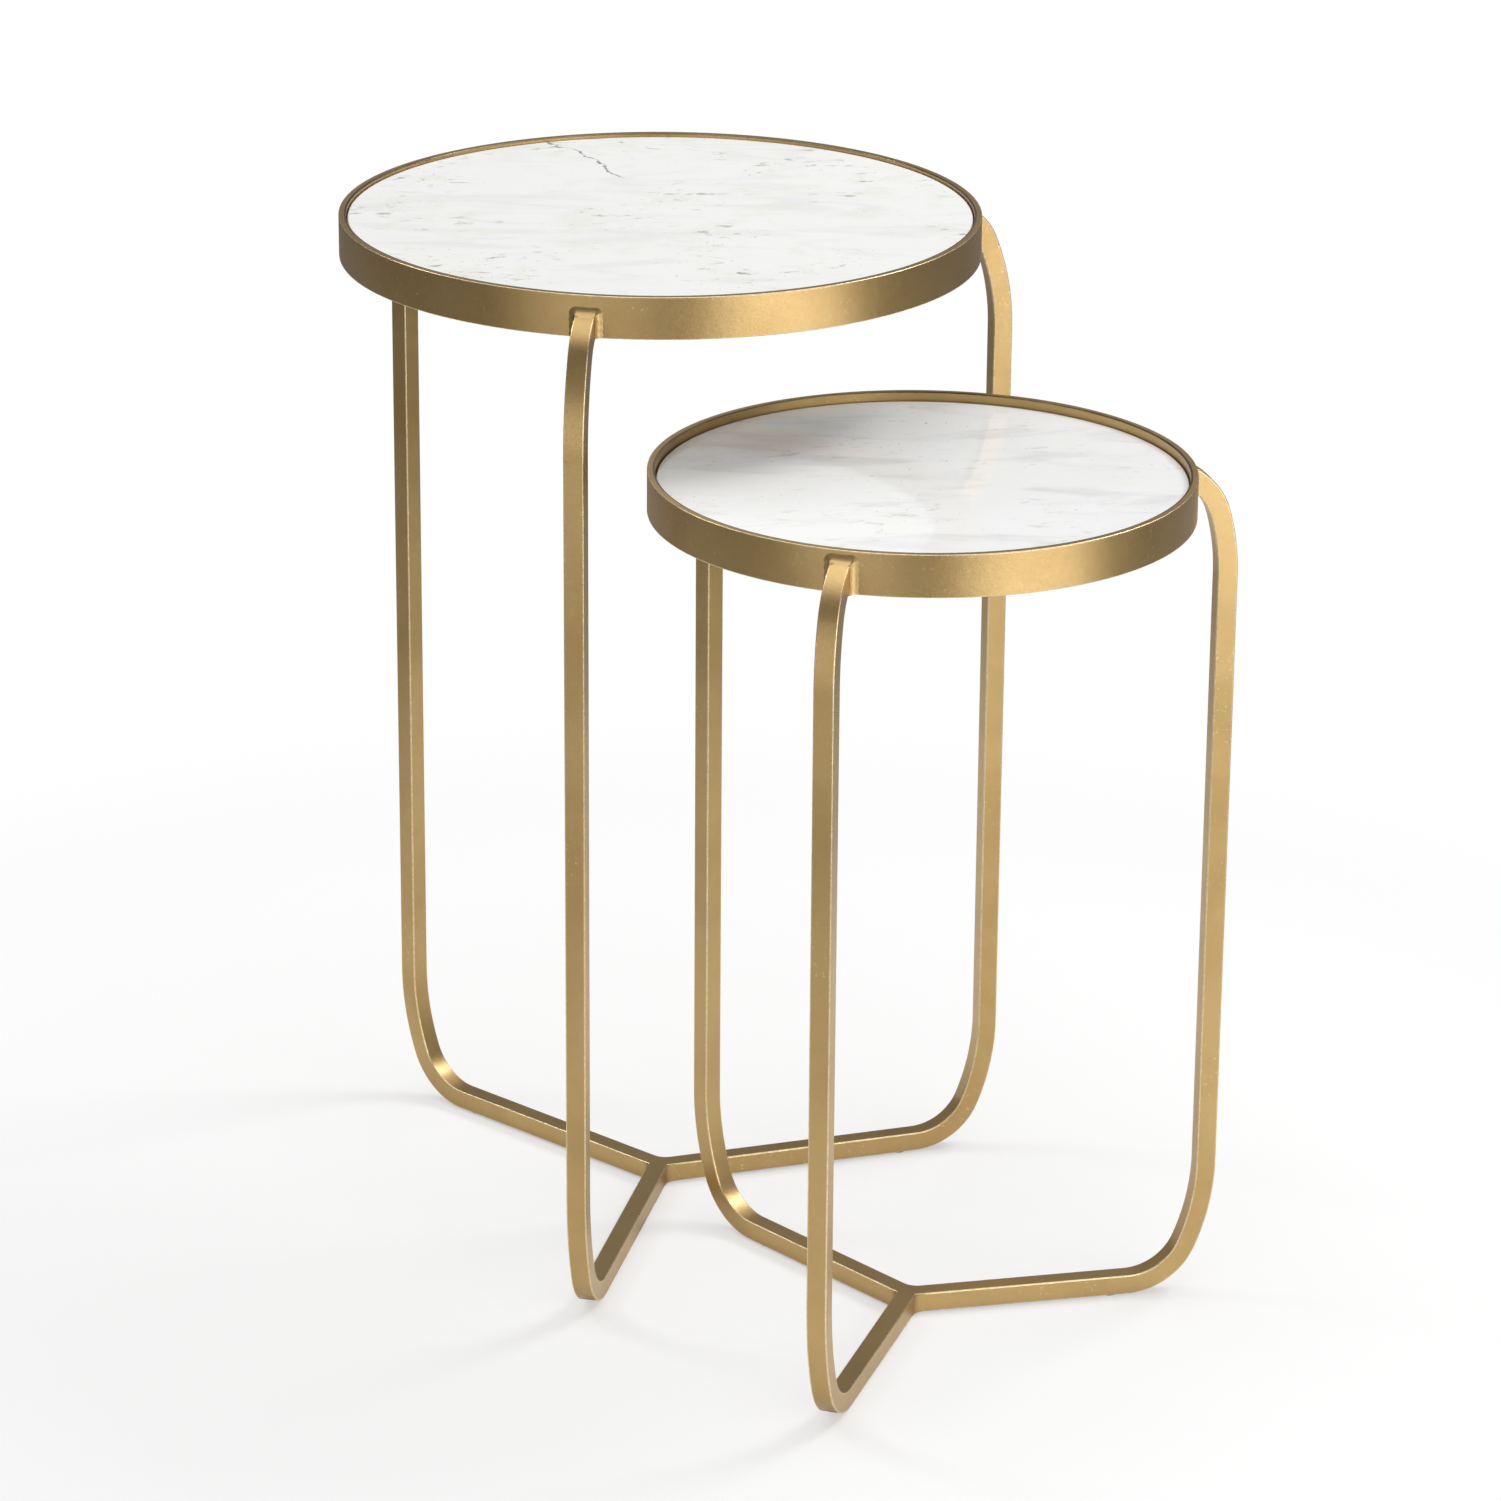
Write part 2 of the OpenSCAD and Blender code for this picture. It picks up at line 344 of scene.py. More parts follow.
class Nodes:
    """A material's node tree, with short calls for the nodes that the finishes use."""

    def __init__(self, name):
        self.material = bpy.data.materials.get(name) or bpy.data.materials.new(name)
        self.material.use_nodes = True
        self.tree = self.material.node_tree
        self.tree.nodes.clear()
        self.shader = self.add("ShaderNodeBsdfPrincipled")
        output = self.add("ShaderNodeOutputMaterial")
        self.link(self.shader.outputs["BSDF"], output.inputs["Surface"])

    def add(self, kind, **settings):
        """A new node with some of its settings."""
        node = self.tree.nodes.new(kind)
        for key, value in settings.items():
            setattr(node, key, value)
        return node

    def link(self, source, target):
        """Joins an output to an input."""
        self.tree.links.new(source, target)

    def feed(self, socket, value):
        """Links a socket, or sets it when the value is a plain number or colour."""
        if isinstance(value, bpy.types.NodeSocket):
            self.link(value, socket)
        else:
            socket.default_value = value

    def place(self, centre=(0, 0, 0), turn=0.0, stretch=(1, 1, 1)):
        """Object coordinates about a centre, along turned axes, with the pattern stretched."""
        coordinates = self.add("ShaderNodeTexCoord").outputs["Object"]
        mapping = self.add("ShaderNodeMapping", vector_type="TEXTURE")
        self.link(coordinates, mapping.inputs["Vector"])
        mapping.inputs["Location"].default_value = centre
        mapping.inputs["Rotation"].default_value = (0, 0, turn)
        mapping.inputs["Scale"].default_value = stretch
        return mapping.outputs["Vector"]

    def noise(self, vector, scale, detail=4.0, roughness=0.55, distortion=0.0):
        """Noise with so many spots a metre, roughly, as its scale says."""
        node = self.add("ShaderNodeTexNoise")
        self.link(vector, node.inputs["Vector"])
        node.inputs["Scale"].default_value = scale
        node.inputs["Detail"].default_value = detail
        node.inputs["Roughness"].default_value = roughness
        node.inputs["Distortion"].default_value = distortion
        return node

    def ramp(self, value, low, high, low_value=0.0, high_value=1.0):
        """Maps low..high onto low_value..high_value, held at the ends."""
        node = self.add("ShaderNodeMapRange", interpolation_type="SMOOTHSTEP")
        self.feed(node.inputs["Value"], value)
        node.inputs["From Min"].default_value = low
        node.inputs["From Max"].default_value = high
        node.inputs["To Min"].default_value = low_value
        node.inputs["To Max"].default_value = high_value
        return node.outputs["Result"]

    def math(self, operation, first, second=0.0):
        """The result of a sum on one or two values."""
        node = self.add("ShaderNodeMath", operation=operation)
        self.feed(node.inputs[0], first)
        self.feed(node.inputs[1], second)
        return node.outputs[0]

    def blend(self, factor, first, second):
        """A colour between two colours."""
        node = self.add("ShaderNodeMix", data_type="RGBA")
        self.feed(node.inputs["Factor"], factor)
        self.feed(node.inputs["A"], first)
        self.feed(node.inputs["B"], second)
        return node.outputs["Result"]

    def bump(self, height, distance, normal=None):
        """A normal bent by a height, on top of another normal if there is one."""
        node = self.add("ShaderNodeBump")
        node.inputs["Strength"].default_value = 1.0
        node.inputs["Distance"].default_value = distance
        self.link(height, node.inputs["Height"])
        if normal is not None:
            self.link(normal, node.inputs["Normal"])
        return node.outputs["Normal"]


def gold_lacquer():
    """Satin gold on iron: a fine grain, slight toning, flecks, rounded edges lightened partly as wear and
    partly as a painted highlight, and a painted shadow line along each hoop's inner top edge.
    """
    name = "gold_lacquer"
    if name in bpy.data.materials:
        return bpy.data.materials[name]
    colours = finishes()
    n = Nodes(name)
    place = n.place()
    toning = n.noise(place, 9.0, detail=5.0, roughness=0.6).outputs["Fac"]
    grain = n.noise(place, 900.0, detail=3.0).outputs["Fac"]
    flecks = n.noise(place, 420.0, detail=5.0, roughness=0.75).outputs["Fac"]
    patches = n.noise(place, 14.0, detail=3.0).outputs["Fac"]
    wear_and_highlight = n.add("ShaderNodeAttribute", attribute_name="wear_and_highlight").outputs["Fac"]
    base = n.blend(n.ramp(toning, 0.35, 0.7), tuple(colours.gold), tuple(colours.gold_dark))
    fleck_mask = n.math("MULTIPLY", n.ramp(flecks, 0.60, 0.66), n.ramp(patches, 0.50, 0.64, 0.05, 0.6))
    # Rounded edges lighten partly as wear and partly as a painted highlight
    wear_and_highlight_mask = n.math("MULTIPLY", wear_and_highlight, n.ramp(flecks, 0.40, 0.60, 0.45, 0.80))
    mask = n.math("MAXIMUM", fleck_mask, wear_and_highlight_mask)
    # Painted shadow: a dark line along each hoop's inner top edge, standing in for shade there
    painted_shadow_faces = n.add("ShaderNodeAttribute", attribute_name="painted_shadow_faces").outputs["Fac"]
    painted_shadow_mask = n.math("MULTIPLY", painted_shadow_faces, n.ramp(patches, 0.3, 0.7, 0.95, 0.70))
    metal = n.blend(mask, base, tuple(colours.gold_wear_and_highlight))
    metal = n.blend(painted_shadow_mask, metal, tuple(colours.gold_painted_shadow))
    n.link(metal, n.shader.inputs["Base Color"])
    n.shader.inputs["Metallic"].default_value = 1.0
    n.shader.inputs["Coat Weight"].default_value = 0.32
    n.shader.inputs["Coat Roughness"].default_value = 0.30
    rough = n.ramp(grain, 0.3, 0.7, 0.34, 0.44)
    n.link(n.math("SUBTRACT", rough, n.math("MULTIPLY", mask, 0.13)), n.shader.inputs["Roughness"])
    dimple = n.noise(place, 160.0, detail=2.0).outputs["Fac"]
    fine = n.bump(grain, 0.00004)
    n.link(n.bump(dimple, 0.00008, normal=fine), n.shader.inputs["Normal"])
    return n.material


def cooler(colour):
    """A colour made a shade darker and cooler, as the small disc's marble is drawn."""
    return (colour[0] * 0.98, colour[1] * 0.985, colour[2] * 0.995, 1.0)


def white_marble(table):
    """Polished white marble with faint bands, warm mottling, short dark dashes and small specks."""
    colours = finishes()
    n = Nodes(f"{table}_white_marble")
    start = table_place(table).translation.copy()
    # The small disc is cut from another place in the stone
    other_slab = 3.7
    # The stone's bands run across the view, and its dashes a little off them
    bands_lie = studio().azimuth
    dashes_lie = bands_lie + math.radians(6)
    ground, cloud = tuple(colours.marble), tuple(colours.marble_cloud)
    clouding, marking = 0.55, 1.0
    if table == "small":
        start.y += other_slab
        ground, cloud = cooler(ground), cooler(cloud)
        clouding, marking = 0.90, 0.45
    warm, dark = tuple(colours.marble_warm), tuple(colours.marble_vein)

    plain = n.place(start)
    banded = n.place(start, bands_lie, (3.2, 1.0, 1.0))
    dashed = n.place(start, dashes_lie, (1.7, 0.8, 1.0))
    bands = n.noise(banded, 34.0, detail=6.0, roughness=0.6, distortion=0.8).outputs["Fac"]
    mottle = n.noise(plain, 34.0, detail=6.0, roughness=0.65, distortion=0.5).outputs["Fac"]
    dashes = n.noise(dashed, 120.0, detail=4.0, roughness=0.55, distortion=0.5).outputs["Fac"]
    groups = n.noise(plain, 17.0, detail=2.0).outputs["Fac"]
    specks = n.noise(plain, 330.0, detail=1.0).outputs["Fac"]

    ground = n.blend(n.ramp(bands, 0.48, 0.70, 0.0, clouding), ground, cloud)
    ground = n.blend(n.ramp(mottle, 0.50, 0.68, 0.0, 0.60 * marking), ground, warm)
    dash_groups = n.ramp(groups, 0.46, 0.64, 0.0, 0.80 * marking)
    ground = n.blend(n.math("MULTIPLY", n.ramp(dashes, 0.58, 0.70), dash_groups), ground, dark)
    speck_groups = n.ramp(groups, 0.40, 0.55, 0.15, 0.6)
    ground = n.blend(n.math("MULTIPLY", n.ramp(specks, 0.72, 0.77), speck_groups), ground, dark)
    if table == "large":
        ground = n.blend(dark_vein(n), ground, dark)
    n.link(ground, n.shader.inputs["Base Color"])
    n.shader.inputs["Roughness"].default_value = 0.045
    n.shader.inputs["IOR"].default_value = 1.5
    return n.material


def dark_vein(n):
    """The mask of one thin broken vein towards the back of the large disc."""
    # Where it starts, which way it runs and how far
    start = (0.0807, 0.1705, 0.0)
    bearing = math.radians(-110.3)
    reach = 0.107
    # It bows out most at this far along, by so much, and wavers by so much
    bend = 0.036
    bow_height = 0.0057
    waver_height = 0.0026
    along = n.place(start, bearing)
    waver = n.noise(along, 75.0, detail=3.0, roughness=0.6).outputs["Fac"]
    parts = n.add("ShaderNodeSeparateXYZ")
    n.link(along, parts.inputs["Vector"])
    way, side = parts.outputs["X"], parts.outputs["Y"]
    bow = n.math("MULTIPLY", n.ramp(way, 0.014, bend), n.ramp(way, bend, reach, bow_height, 0.0))
    waver = n.ramp(waver, 0.25, 0.75, -waver_height, waver_height)
    off = n.math("ADD", n.math("SUBTRACT", side, bow), waver)
    line = n.ramp(n.math("ABSOLUTE", off), 0.0003, 0.0013, 1.0, 0.0)
    inside = n.math("MULTIPLY", n.ramp(way, -0.004, 0.004), n.ramp(way, reach - 0.012, reach, 1.0, 0.0))
    breaks = n.ramp(n.noise(along, 150.0, detail=2.0).outputs["Fac"], 0.40, 0.56, 0.35, 1.0)
    return n.math("MULTIPLY", n.math("MULTIPLY", line, inside), breaks)


def soft_rubber(name, colour, roughness):
    """A soft pad with a faint grain."""
    if name in bpy.data.materials:
        return bpy.data.materials[name]
    n = Nodes(name)
    grain = n.noise(n.place(), 700.0, detail=4.0).outputs["Fac"]
    darker = tuple(c * 0.8 for c in colour[:3]) + (1.0,)
    n.link(n.blend(grain, tuple(colour), darker), n.shader.inputs["Base Color"])
    n.shader.inputs["Roughness"].default_value = roughness
    n.link(n.bump(grain, 0.00008), n.shader.inputs["Normal"])
    return n.material


# ---------------------------------------------------------------- shapes

def square_ring(outer, inner, low, high, edge, steps, shadow_line_width=0.0):
    """A flat bar rolled into a ring, with rounded edges and, if asked, a painted shadow line along the
    inside of its top.
    """
    bm = bmesh.new()
    corners = [(outer, 0, low), (outer, 0, high), (inner, 0, high), (inner, 0, low)]
    if shadow_line_width:
        corners.insert(2, (inner + shadow_line_width, 0, high))
    full_spin(bm, ring_of(bm, corners), steps)
    round_edges(bm, sharp_edges(bm), edge)
    # Marks the faces that get the painted shadow line along the inner top edge
    painted_shadow_faces = bm.faces.layers.float.new("painted_shadow_faces")
    for face in bm.faces:
        middle = face.calc_center_median()
        if middle.z > high - 2 * edge and middle.xy.length < inner + shadow_line_width:
            face[painted_shadow_faces] = 1.0
    return bm


def foot_bend_centre(table):
    """The centre of the tight part of the floor bend, in the leg's plane."""
    b = bars()
    outer = sizes_of(table).reach + b.side / 2
    ease = math.hypot(b.foot_across, b.foot_along)
    glide = box_size(f"{table}_glides").z
    return Vector((outer - b.foot_radius - ease + b.foot_across, 0, glide + b.foot_radius))


def top_bend_centre(table):
    """The centre of the tight part of the top bend, in the leg's plane."""
    t = sizes_of(table)
    outer = t.reach + bars().side / 2
    ease = math.hypot(t.ease_across, t.ease_along)
    hoop_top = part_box(f"{table}_hoop")[1].z
    return Vector((outer - t.bend_radius - ease + t.ease_across, 0, hoop_top - t.bend_drop))


def leg_bar(table):
    """One leg in its own plane, X outwards: floor arm, foot bend, upright and top bend."""
    b, t = bars(), sizes_of(table)
    half = b.side / 2
    low = box_size(f"{table}_glides").z
    high = low + b.side
    foot = foot_bend_centre(table)
    foot_gentle = foot - Vector((b.foot_across, 0, -b.foot_along))
    foot_ease = math.atan2(b.foot_along, b.foot_across)
    top = top_bend_centre(table)
    top_gentle = top - Vector((t.ease_across, 0, t.ease_along))
    top_ease = math.atan2(t.ease_along, t.ease_across)

    bm = bmesh.new()
    axis = (0, -1, 0)
    loop = ring_of(bm, [(0, -half, low), (0, half, low), (0, half, high), (0, -half, high)])
    for _ in range(2):
        loop = run_on(bm, loop, (foot.x / 2, 0, 0))
    loop = turn_on(bm, loop, foot, axis, math.pi / 2 - foot_ease, TIGHT_STEPS)
    loop = turn_on(bm, loop, foot_gentle, axis, foot_ease, GENTLE_STEPS)
    for _ in range(2):
        loop = run_on(bm, loop, (0, 0, (top_gentle.z - foot_gentle.z) / 2))
    loop = turn_on(bm, loop, top_gentle, axis, top_ease, GENTLE_STEPS)
    turn_on(bm, loop, top, axis, TOP_SWEEP - top_ease, TIGHT_STEPS)
    round_edges(bm, sharp_edges(bm), b.leg_edge)

    hoop_face = box_size(f"{table}_hoop").x / 2
    top_faces = [f for f in bm.faces if min(v.co.z for v in f.verts) > top_gentle.z - TOUCH]
    cut_away(bm, (hoop_face - LEG_SUNK, 0, 0), (-1, 0, 0), top_faces)
    for side in (1, -1):
        arm_faces = [f for f in bm.faces if max(v.co.x for v in f.verts) < foot.x
                     and max(v.co.z for v in f.verts) < high + TOUCH]
        cut_away(bm, (0, 0, 0), (-math.sin(MITRE), side * math.cos(MITRE), 0), arm_faces)
    return bm


def leg_ends(table):
    """The hoop's radius, the heights where a leg's outer and inner faces meet it, and the slope there."""
    centre = top_bend_centre(table)
    hoop_radius = box_size(f"{table}_hoop").x / 2
    across = hoop_radius - centre.x
    outer = sizes_of(table).bend_radius
    inner = outer - bars().side
    outer_rise = math.sqrt(outer ** 2 - across ** 2)
    inner_rise = math.sqrt(inner ** 2 - across ** 2)
    return hoop_radius, centre.z + outer_rise, centre.z + inner_rise, across / outer_rise


def leg_bead(bm, table, place):
    """The weld over the end of a leg and down both of its sides, as one smooth concave bead."""
    b = bars()
    radius, high, _, slope = leg_ends(table)
    foot, half, corner = b.bead, b.side / 2, b.leg_edge
    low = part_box(f"{table}_hoop")[0].z + WELD_SHY
    side_steps, end_steps = 8, 5
    # The end's slope fades out over this height, and the sides ripple by this share of their place
    fade, ripple, waves = 0.004, 0.03, 1400
    section = [(-WELD_SUNK, -WELD_SUNK), (foot, -WELD_SUNK), (foot * 0.55, foot * 0.10),
               (foot * 0.27, foot * 0.27), (foot * 0.10, foot * 0.55), (-WELD_SUNK, foot * 1.15)]
    before = set(bm.verts)
    first = ring_of(bm, [(radius + x, half + y, low) for x, y in section])
    loop = first
    top = high - corner
    for _ in range(side_steps):
        loop = run_on(bm, loop, (0, 0, (top - low) / side_steps))
    loop = turn_on(bm, loop, (radius, half - corner, top), (1, 0, 0), math.pi / 2, side_steps)
    for _ in range(end_steps):
        loop = run_on(bm, loop, (0, -(half - corner) * 2 / end_steps, 0))
    loop = turn_on(bm, loop, (radius, corner - half, top), (1, 0, 0), math.pi / 2, side_steps)
    for _ in range(side_steps):
        loop = run_on(bm, loop, (0, 0, (low - top) / side_steps))
    bmesh.ops.holes_fill(bm, edges=first + loop, sides=0)
    for vert in set(bm.verts) - before:
        near_top = min(max((vert.co.z - high + fade) / fade, 0.0), 1.0)
        out = max(vert.co.x - radius, 0.0)
        vert.co.z -= out * slope * near_top
        vert.co.y *= 1 + ripple * math.sin(vert.co.z * waves)
    place_new(bm, before, place)


def weld_web(bm, table, place):
    """Weld metal that fills the narrow gap under a leg's end, down to the hoop's lower edge."""
    b = bars()
    centre = top_bend_centre(table)
    radius, _, gap_top, _ = leg_ends(table)
    # It stops short of the bar's sides and of the hoop's edge, and reaches into the leg
    shy, into_leg, steps = 0.0004, 0.0006, 8
    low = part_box(f"{table}_hoop")[0].z + shy
    half = b.side / 2 - shy
    arc = sizes_of(table).bend_radius - b.side + into_leg
    points = [(radius - WELD_SUNK, -half, gap_top), (radius - WELD_SUNK, -half, low)]
    for i in range(steps + 1):
        z = low + (gap_top - low) * i / steps
        points.append((centre.x + math.sqrt(arc ** 2 - (z - centre.z) ** 2), -half, z))
    before = set(bm.verts)
    loop = ring_of(bm, points)
    last = run_on(bm, loop, (0, 2 * half, 0))
    bmesh.ops.holes_fill(bm, edges=loop + last, sides=0)
    place_new(bm, before, place)


def hub_corner(bm, table, place):
    """Weld metal in one corner of the Y, with a hollow face between the two arms."""
    b = bars()
    low = box_size(f"{table}_glides").z + WELD_SHY
    corner = b.side / 2 / math.sin(MITRE)
    # How far its root lies behind the corner
    behind, steps = 0.004, 10
    radius = b.hub_fillet
    centre_x = corner + radius / math.sin(MITRE)
    sweep = math.pi - 2 * MITRE
    bearing = math.pi - sweep / 2
    before = set(bm.verts)
    first = bm.verts.new((centre_x + radius * math.cos(bearing), radius * math.sin(bearing), low))
    made = bmesh.ops.spin(bm, geom=[first], cent=(centre_x, 0, 0), axis=(0, 0, 1), angle=sweep,
                          steps=steps, use_duplicate=False)
    last = verts_in(made["geom_last"])[0]
    root = bm.verts.new((corner - behind, 0, low))
    for end in (first, last):
        bm.edges.new((end, root))
    new_verts = set(bm.verts) - before
    outline = [e for e in bm.edges if all(v in new_verts for v in e.verts)]
    face = bmesh.ops.contextual_create(bm, geom=outline)["faces"]
    made = bmesh.ops.extrude_face_region(bm, geom=face, use_keep_orig=True)["geom"]
    bmesh.ops.translate(bm, verts=verts_in(made), vec=(0, 0, b.side - 2 * WELD_SHY))
    place_new(bm, before, place)


def ledge_tack(bm, table, place):
    """A short weld in the corner between a ledge's underside and the hoop."""
    low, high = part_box(f"{table}_ledge")
    outer = (high.x - low.x) / 2
    side = box_size(f"{table}_ledge_tacks").z
    # Degrees that it runs round the ledge
    sweep, steps = 7, 14
    # How far it reaches into the bars, and how far its face lies out at the middle
    sunk, hollow = 0.0005, side * 0.4
    before = set(bm.verts)
    loop = ring_of(bm, [(outer + sunk, 0, low.z + sunk), (outer - side, 0, low.z + sunk),
                        (outer - hollow, 0, low.z - hollow), (outer + sunk, 0, low.z - side)])
    last = turn_on(bm, loop, (0, 0, 0), (0, 0, 1), math.radians(sweep), steps)
    bmesh.ops.holes_fill(bm, edges=loop + last, sides=0)
    place_new(bm, before, place @ turned(-sweep / 2))


def disc_profile(bm, radius, low, high):
    """Half of a disc's outline, from its axis out to the rim and back."""
    return line_of(bm, [(0, 0, low), (radius, 0, low), (radius, 0, high), (0, 0, high)])


def round_pad(bm, diameter, thickness, place, edge):
    """A round pad with an eased rim, standing on its place."""
    before = set(bm.faces)
    matrix = place @ Matrix.Translation((0, 0, thickness / 2))
    bmesh.ops.create_cone(bm, cap_ends=True, segments=36, radius1=diameter / 2,
                          radius2=diameter / 2, depth=thickness, matrix=matrix)
    made = set(bm.faces) - before
    rim = [e for e in sharp_edges(bm, 60) if any(f in made for f in e.link_faces)]
    round_edges(bm, rim, edge, 2)


# ---------------------------------------------------------------- operators

class NESTING_OT_hoops(bpy.types.Operator):
    """Rolls the flat-bar hoop round each top"""

    bl_idname = "nesting.hoops"
    bl_label = "Hoops"

    def execute(self, context):
        for table in TABLES:
            low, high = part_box(f"{table}_hoop")
            radius = (high.x - low.x) / 2
            inner = box_size(f"{table}_ledge").x / 2
            bm = square_ring(radius, inner, low.z, high.z, bars().hoop_edge, HOOP_STEPS, bars().shadow_line_width)
            finish_piece(bm, f"{table}_hoop_rolled", table_place(table), gold_lacquer(),
                         f"{table}_frame", [f"{table}_hoop"])
        return {"FINISHED"}


class NESTING_OT_ledges(bpy.types.Operator):
    """Makes the ledge ring inside each hoop and its tack welds"""

    bl_idname = "nesting.ledges"
    bl_label = "Ledges"

    def execute(self, context):
        for table in TABLES:
            low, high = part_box(f"{table}_ledge")
            outer = (high.x - low.x) / 2
            inner = outer - rests().ledge
            bm = square_ring(outer, inner, low.z, high.z, bars().hoop_edge, LEDGE_STEPS)
            finish_piece(bm, f"{table}_ledge_ring", table_place(table), gold_lacquer(),
                         f"{table}_frame", [f"{table}_ledge"])
            bm = bmesh.new()
            for i in range(AROUND):
                ledge_tack(bm, table, turned(360 / AROUND * i))
            finish_piece(bm, f"{table}_ledge_tack_beads", table_place(table), gold_lacquer(),
                         f"{table}_frame", [f"{table}_ledge_tacks"])
        return {"FINISHED"}


class NESTING_OT_legs(bpy.types.Operator):
    """Bends the square bars of the legs"""

    bl_idname = "nesting.legs"
    bl_label = "Legs"

    def execute(self, context):
        for table in TABLES:
            for leg, bearing in LEGS.items():
                place = table_place(table) @ turned(bearing)
                finish_piece(leg_bar(table), f"{table}_leg_{leg}_bar", place, gold_lacquer(),
                             f"{table}_frame", [f"{table}_leg_{leg}"])
        return {"FINISHED"}


class NESTING_OT_welds(bpy.types.Operator):
    """Lays the welds between legs and hoops and in the corners of each Y"""

    bl_idname = "nesting.welds"
    bl_label = "Welds"

    def execute(self, context):
        for table in TABLES:
            bm = bmesh.new()
            for bearing in LEGS.values():
                leg_bead(bm, table, turned(bearing))
                weld_web(bm, table, turned(bearing))
            finish_piece(bm, f"{table}_leg_beads", table_place(table), gold_lacquer(),
                         f"{table}_frame", [f"{table}_leg_welds"])
            bm = bmesh.new()
            for bearing in LEGS.values():
                hub_corner(bm, table, turned(bearing + math.degrees(MITRE)))
            finish_piece(bm, f"{table}_hub_fillets", table_place(table), gold_lacquer(),
                         f"{table}_frame", [f"{table}_hub_weld"])
        return {"FINISHED"}


class NESTING_OT_marble(bpy.types.Operator):
    """Cuts and polishes the marble discs"""

    bl_idname = "nesting.marble"
    bl_label = "Marble discs"

    def execute(self, context):
        for table in TABLES:
            low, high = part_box(f"{table}_stone_top")
            bm = bmesh.new()
            full_spin(bm, disc_profile(bm, (high.x - low.x) / 2, low.z, high.z), HOOP_STEPS)
            round_edges(bm, sharp_edges(bm), rests().disc_edge, 4)
            finish_piece(bm, f"{table}_marble_disc", table_place(table), white_marble(table),
                         f"{table}_top", [f"{table}_stone_top"])
        return {"FINISHED"}


class NESTING_OT_pads(bpy.types.Operator):
    """Sets the bumpers under the marble and the glides under the arms"""

    bl_idname = "nesting.pads"
    bl_label = "Bumpers and glides"

    def execute(self, context):
        colours, r = finishes(), rests()
        step = 360 / AROUND
        for table in TABLES:
            low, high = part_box(f"{table}_bumpers")
            ring = (box_size(f"{table}_ledge").x - r.ledge) / 2
            bm = bmesh.new()
            for i in range(AROUND):
                spot = turned(step * i + step / 2) @ Matrix.Translation((ring, 0, low.z))
                round_pad(bm, r.bumper, high.z - low.z, spot, 0.0007)
            finish_piece(bm, f"{table}_bumper_dots", table_place(table),
                         soft_rubber("clear_rubber", colours.bumper, 0.35),
                         f"{table}_frame", [f"{table}_bumpers"])
            thickness = box_size(f"{table}_glides").z
            reach = foot_bend_centre(table).x - r.glide_inset
            spots = [turned(bearing) @ Matrix.Translation((reach, 0, 0)) for bearing in LEGS.values()]
            bm = bmesh.new()
            for spot in (Matrix.Identity(4), *spots):
                round_pad(bm, r.glide, thickness, spot, 0.0005)
            finish_piece(bm, f"{table}_glide_pads", table_place(table),
                         soft_rubber("glide_rubber", colours.glide, 0.6),
                         f"{table}_frame", [f"{table}_glides"])
        return {"FINISHED"}


# ---------------------------------------------------------------- studio

def area_light(name, place, target, size, radiance):
    """A soft rectangular light at a place, aimed at a target, as bright as its radiance says."""
    light = bpy.data.lights.new(name, "AREA")
    light.shape = "RECTANGLE"
    light.size, light.size_y = size
    light.energy = math.pi * size[0] * size[1] * radiance
    lamp = bpy.data.objects.new(name, light)
    lamp.location = place
    lamp.rotation_euler = (target - place).to_track_quat("-Z", "Y").to_euler()
    lamp.visible_camera = False
    bpy.context.scene.collection.objects.link(lamp)


def studio_air():
    """A dim even glow that looks white behind the floor's edge."""
    world = bpy.data.worlds.new("studio_air")
    world.use_nodes = True
    tree = world.node_tree
    tree.nodes.clear()
    dim, white = (tree.nodes.new("ShaderNodeBackground") for _ in range(2))
    dim.inputs["Color"].default_value = (0.22, 0.22, 0.22, 1.0)
    white.inputs["Color"].default_value = (1.0, 1.0, 1.0, 1.0)
    rays = tree.nodes.new("ShaderNodeLightPath")
    mix = tree.nodes.new("ShaderNodeMixShader")
    output = tree.nodes.new("ShaderNodeOutputWorld")
    tree.links.new(rays.outputs["Is Camera Ray"], mix.inputs[0])
    tree.links.new(dim.outputs[0], mix.inputs[1])
    tree.links.new(white.outputs[0], mix.inputs[2])
    tree.links.new(mix.outputs[0], output.inputs["Surface"])
    return world


def studio_paper():
    """White paper that keeps soft shadows near the tables and burns out further away."""
    n = Nodes("studio_floor")
    place = n.place()
    tone = n.noise(place, 1.3, detail=2.0).outputs["Fac"]
    pale = tuple(finishes().floor)
    deeper = tuple(c * 0.985 for c in pale[:3]) + (1.0,)
    distant = (0.3, 0.3, 0.3, 1.0)
    away = n.add("ShaderNodeVectorMath", operation="LENGTH")
    n.link(place, away.inputs[0])
    dim = n.ramp(away.outputs["Value"], 0.5, 1.3)
    n.link(n.blend(dim, n.blend(tone, pale, deeper), distant), n.shader.inputs["Base Color"])
    n.shader.inputs["Roughness"].default_value = 0.7
    rays = n.add("ShaderNodeLightPath").outputs["Is Camera Ray"]
    burnt = n.math("MULTIPLY", rays, n.ramp(away.outputs["Value"], 0.35, 0.9, 0.5, 1.0))
    glow = n.add("ShaderNodeEmission")
    mix = n.add("ShaderNodeMixShader")
    n.link(burnt, mix.inputs[0])
    n.link(n.shader.outputs["BSDF"], mix.inputs[1])
    n.link(glow.outputs["Emission"], mix.inputs[2])
    output = next(node for node in n.tree.nodes if node.type == "OUTPUT_MATERIAL")
    n.link(mix.outputs[0], output.inputs["Surface"])
    return n.material


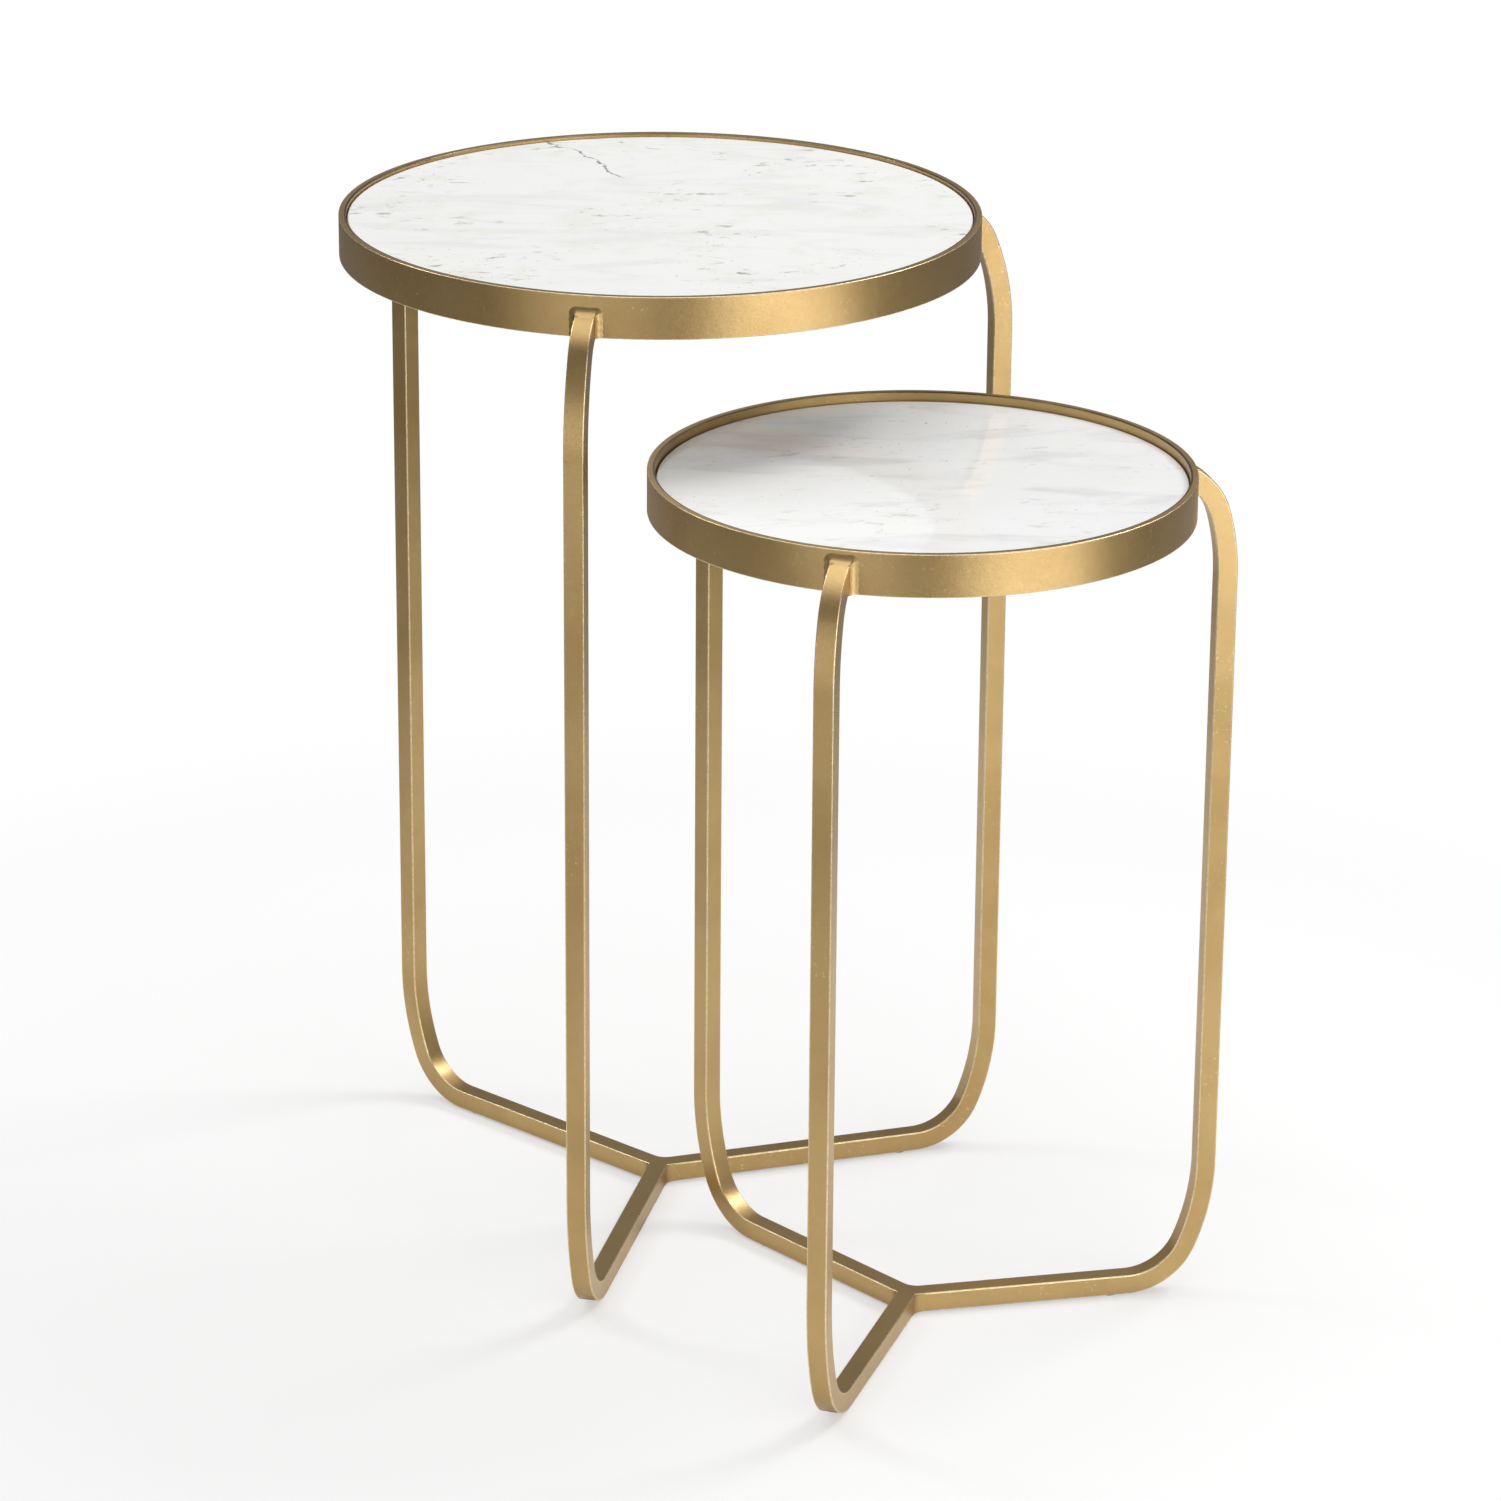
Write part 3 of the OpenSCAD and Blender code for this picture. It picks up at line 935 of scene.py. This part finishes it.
def lay_floor():
    """Lays the paper floor under the tables."""
    bm = bmesh.new()
    bmesh.ops.create_grid(bm, x_segments=8, y_segments=8, size=studio().floor_size / 2)
    mesh = bpy.data.meshes.new("studio_floor")
    bm.to_mesh(mesh)
    bm.free()
    mesh.materials.append(studio_paper())
    floor = bpy.data.objects.new("studio_floor", mesh)
    bpy.context.scene.collection.objects.link(floor)


def hang_lights():
    """One wide light overhead, two low in front and two small ones high up at the sides."""
    middle = seen(0.05, 0, 0.35)
    # Place, target, size and radiance of each
    area_light("overhead", seen(0.0, 0.1, 3.6), middle, (4.2, 4.2), 1.6)
    area_light("right_front", seen(1.05, -1.2, 0.48), seen(0.05, 0, 0.48), (1.3, 0.94), 2.5)
    area_light("left_front", seen(-0.9, -1.9, 0.4), seen(0.05, 0, 0.40), (1.6, 0.78), 1.3)
    area_light("right_high", seen(1.5, 0.6, 2.1), middle, (0.75, 0.75), 11.5)
    area_light("left_high", seen(-1.7, 0.6, 1.9), middle, (0.6, 0.6), 8.5)


def set_camera():
    """Stands the camera in front of the tables and makes it the scene's own."""
    s = studio()
    camera = bpy.data.objects.new("studio_camera", bpy.data.cameras.new("studio_camera"))
    camera.data.sensor_width = 36.0
    camera.data.lens = s.lens
    camera.data.clip_start = 0.1
    camera.data.clip_end = 60.0
    spot = seen(0, -s.distance, s.camera_height)
    look = (Matrix.Rotation(s.azimuth - s.yaw, 4, "Z")
            @ Matrix.Rotation(math.pi / 2 - s.pitch, 4, "X")
            @ Matrix.Rotation(s.roll, 4, "Z"))
    camera.matrix_world = Matrix.Translation(spot) @ look
    bpy.context.scene.collection.objects.link(camera)
    bpy.context.scene.camera = camera


class NESTING_OT_stage(bpy.types.Operator):
    """Sets up the floor, the studio light and the camera"""

    bl_idname = "nesting.stage"
    bl_label = "Stage"

    def execute(self, context):
        lay_floor()
        context.scene.world = studio_air()
        hang_lights()
        set_camera()
        context.scene.view_settings.view_transform = "Standard"
        return {"FINISHED"}


# ---------------------------------------------------------------- panel and registration

class NESTING_PT_panel(bpy.types.Panel):
    """Lists the pieces of the nesting tables"""

    bl_idname = "NESTING_PT_panel"
    bl_label = "Nesting Tables"
    bl_space_type = "VIEW_3D"
    bl_region_type = "UI"
    bl_category = "Nesting Tables"

    def draw(self, context):
        column = self.layout.column()
        for operator in OPERATORS:
            column.operator(operator.bl_idname)
        for name in SETTINGS:
            group = getattr(context.scene, name)
            box = self.layout.box()
            for key in group.__annotations__:
                box.prop(group, key)


OPERATORS = (NESTING_OT_hoops, NESTING_OT_ledges, NESTING_OT_legs, NESTING_OT_welds,
             NESTING_OT_marble, NESTING_OT_pads, NESTING_OT_stage)
SETTINGS = {
    "nesting_bars": BarSizes,
    "nesting_rests": RestSizes,
    "nesting_large": LargeTableSizes,
    "nesting_small": SmallTableSizes,
    "nesting_finishes": Finishes,
    "nesting_studio": StudioSizes,
}


def register():
    """Registers the classes and hangs the settings on the scene."""
    for cls in (*SETTINGS.values(), *OPERATORS, NESTING_PT_panel):
        bpy.utils.register_class(cls)
    for name, group in SETTINGS.items():
        setattr(bpy.types.Scene, name, PointerProperty(type=group))


def unregister():
    """Takes away what register added."""
    for name in SETTINGS:
        delattr(bpy.types.Scene, name)
    for cls in reversed((*SETTINGS.values(), *OPERATORS, NESTING_PT_panel)):
        bpy.utils.unregister_class(cls)


def main():
    """Builds every piece and the stage."""
    register()
    bpy.ops.nesting.hoops()
    bpy.ops.nesting.ledges()
    bpy.ops.nesting.legs()
    bpy.ops.nesting.welds()
    bpy.ops.nesting.marble()
    bpy.ops.nesting.pads()
    bpy.ops.nesting.stage()


if __name__ == "__main__":
    main()
